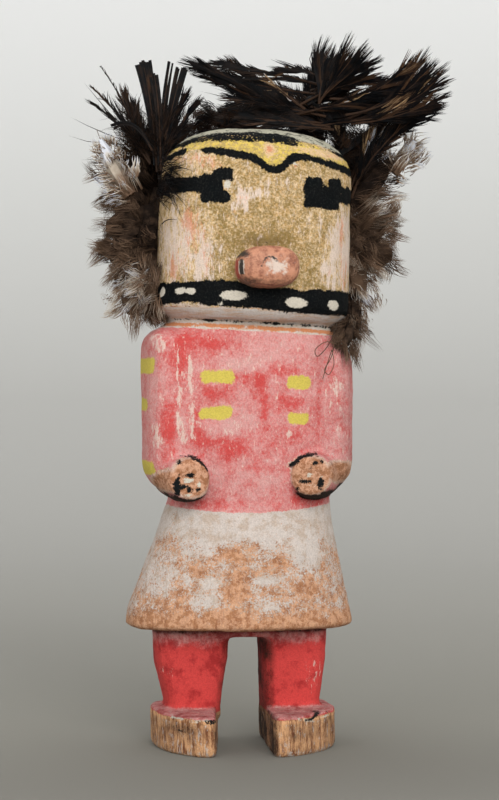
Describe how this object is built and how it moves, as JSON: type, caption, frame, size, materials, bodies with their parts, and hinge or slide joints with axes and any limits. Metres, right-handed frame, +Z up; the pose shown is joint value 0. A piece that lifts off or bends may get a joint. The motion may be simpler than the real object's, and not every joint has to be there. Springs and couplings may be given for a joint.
{
  "type": "kachina doll",
  "caption": "Standing carved wooden doll with a helmet-like head, a pegged snout, folded arms, a flared kilt and black and downy feathers at both sides of the head.",
  "frame": {"origin": "on the floor under the middle of the whole doll, feathers included", "axes": "+Z up; -Y is the way the face looks; +X is the doll's own left"},
  "size_m": [0.1312, 0.0722, 0.2476],
  "materials": {
    "painted_wood": "cottonwood root in worn, chalky red, pink, white, black, yellow and ochre paint, with bare wood at the hem, hands and feet",
    "snout_wood": "whittled wood with a thin worn terracotta stain",
    "black_feather": "glossy black vaned feather with faint brown bars",
    "downy_feather": "soft matt down, dark brown to pale grey"
  },
  "bodies": {
    "root": {"carved_figure": "painted_wood", "snout": "snout_wood", "temple_plume_1": "black_feather", "temple_plume_2": "black_feather", "temple_plume_3": "black_feather", "temple_plume_4": "black_feather", "temple_plume_5": "black_feather", "temple_plume_6": "black_feather", "crest_plume_1": "black_feather", "crest_plume_2": "black_feather", "crest_plume_3": "black_feather", "crest_plume_4": "black_feather", "crest_plume_5": "black_feather", "crest_plume_6": "black_feather", "crest_plume_7": "black_feather", "crest_plume_8": "black_feather", "crest_plume_9": "black_feather", "right_down_1": "downy_feather", "right_down_2": "downy_feather", "right_down_3": "downy_feather", "right_down_4": "downy_feather", "right_down_5": "downy_feather", "right_down_6": "downy_feather", "right_down_7": "downy_feather", "left_down_1": "downy_feather", "left_down_2": "downy_feather", "left_down_3": "downy_feather", "left_down_4": "downy_feather", "left_down_5": "downy_feather", "left_down_6": "downy_feather", "shoulder_down_1": "downy_feather", "shoulder_down_2": "downy_feather"}
  },
  "joints": []
}
